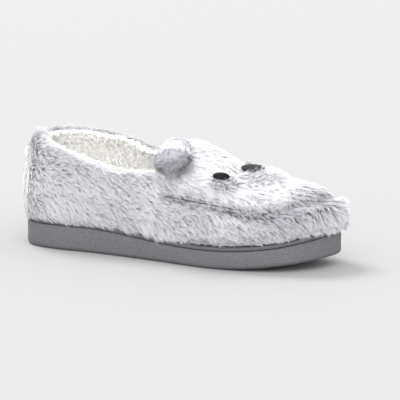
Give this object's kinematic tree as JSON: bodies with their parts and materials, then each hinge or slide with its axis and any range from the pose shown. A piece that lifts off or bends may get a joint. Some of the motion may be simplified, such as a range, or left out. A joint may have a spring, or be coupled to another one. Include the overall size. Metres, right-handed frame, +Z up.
{
  "type": "fluffy slipper",
  "caption": "Closed-toe moccasin house slipper in long-pile fur with an animal face on the instep, small padded ears, a fleece lining and a low moulded sole.",
  "frame": {"origin": "middle of the part's box seen from above, on the floor under the sole", "axes": "+X from the heel to the toe, +Y to the inner (medial) side of a right foot, +Z up"},
  "size_m": [0.2686, 0.0964, 0.0912],
  "materials": {
    "sole_rubber": "fine moulded grain, matte",
    "board": "pressed fibre board, matte",
    "foam": "soft foam and wadding, matte",
    "fleece": "short curly cream pile",
    "grey_fur": "long pile, white tips and dark grey roots",
    "white_fur": "long white pile with grey partings",
    "white_plush": "short dense white pile",
    "stiffener": "thin moulded sheet, matte",
    "thread": "twisted cotton thread",
    "satin": "smooth black satin cloth"
  },
  "bodies": {
    "shoe": {"outsole": "sole_rubber", "rand_strip": "sole_rubber", "insole_board": "board", "footbed_foam": "foam", "sock_lining": "fleece", "quarter_lateral": "grey_fur", "quarter_medial": "grey_fur", "toe_wall": "grey_fur", "apron": "white_fur", "heel_counter": "stiffener", "collar_padding": "foam", "vamp_padding": "foam", "quarter_lining": "fleece", "vamp_lining": "fleece", "side_seam_lateral": "thread", "side_seam_medial": "thread", "heel_seam": "thread", "apron_seam": "thread", "nose": "satin", "eye_lateral": "satin", "eye_medial": "satin"},
    "lateral_ear": {"ear_lateral_fur": "grey_fur", "ear_lateral_plush": "white_plush", "ear_lateral_wadding": "foam"},
    "medial_ear": {"ear_medial_fur": "grey_fur", "ear_medial_plush": "white_plush", "ear_medial_wadding": "foam"}
  },
  "joints": [
    {"name": "lateral_ear_fold", "type": "hinge", "parent": "shoe", "child": "lateral_ear", "pos_m": [0.01163, -0.01575, 0.08571], "axis": [-0.984, -0.1091, -0.1407], "range_deg": [0, 95], "stiffness_Nm_per_rad": 0.002},
    {"name": "medial_ear_fold", "type": "hinge", "parent": "shoe", "child": "medial_ear", "pos_m": [0.00136, 0.02681, 0.07794], "axis": [0.9949, 0.0366, 0.0942], "range_deg": [0, 95], "stiffness_Nm_per_rad": 0.002}
  ]
}
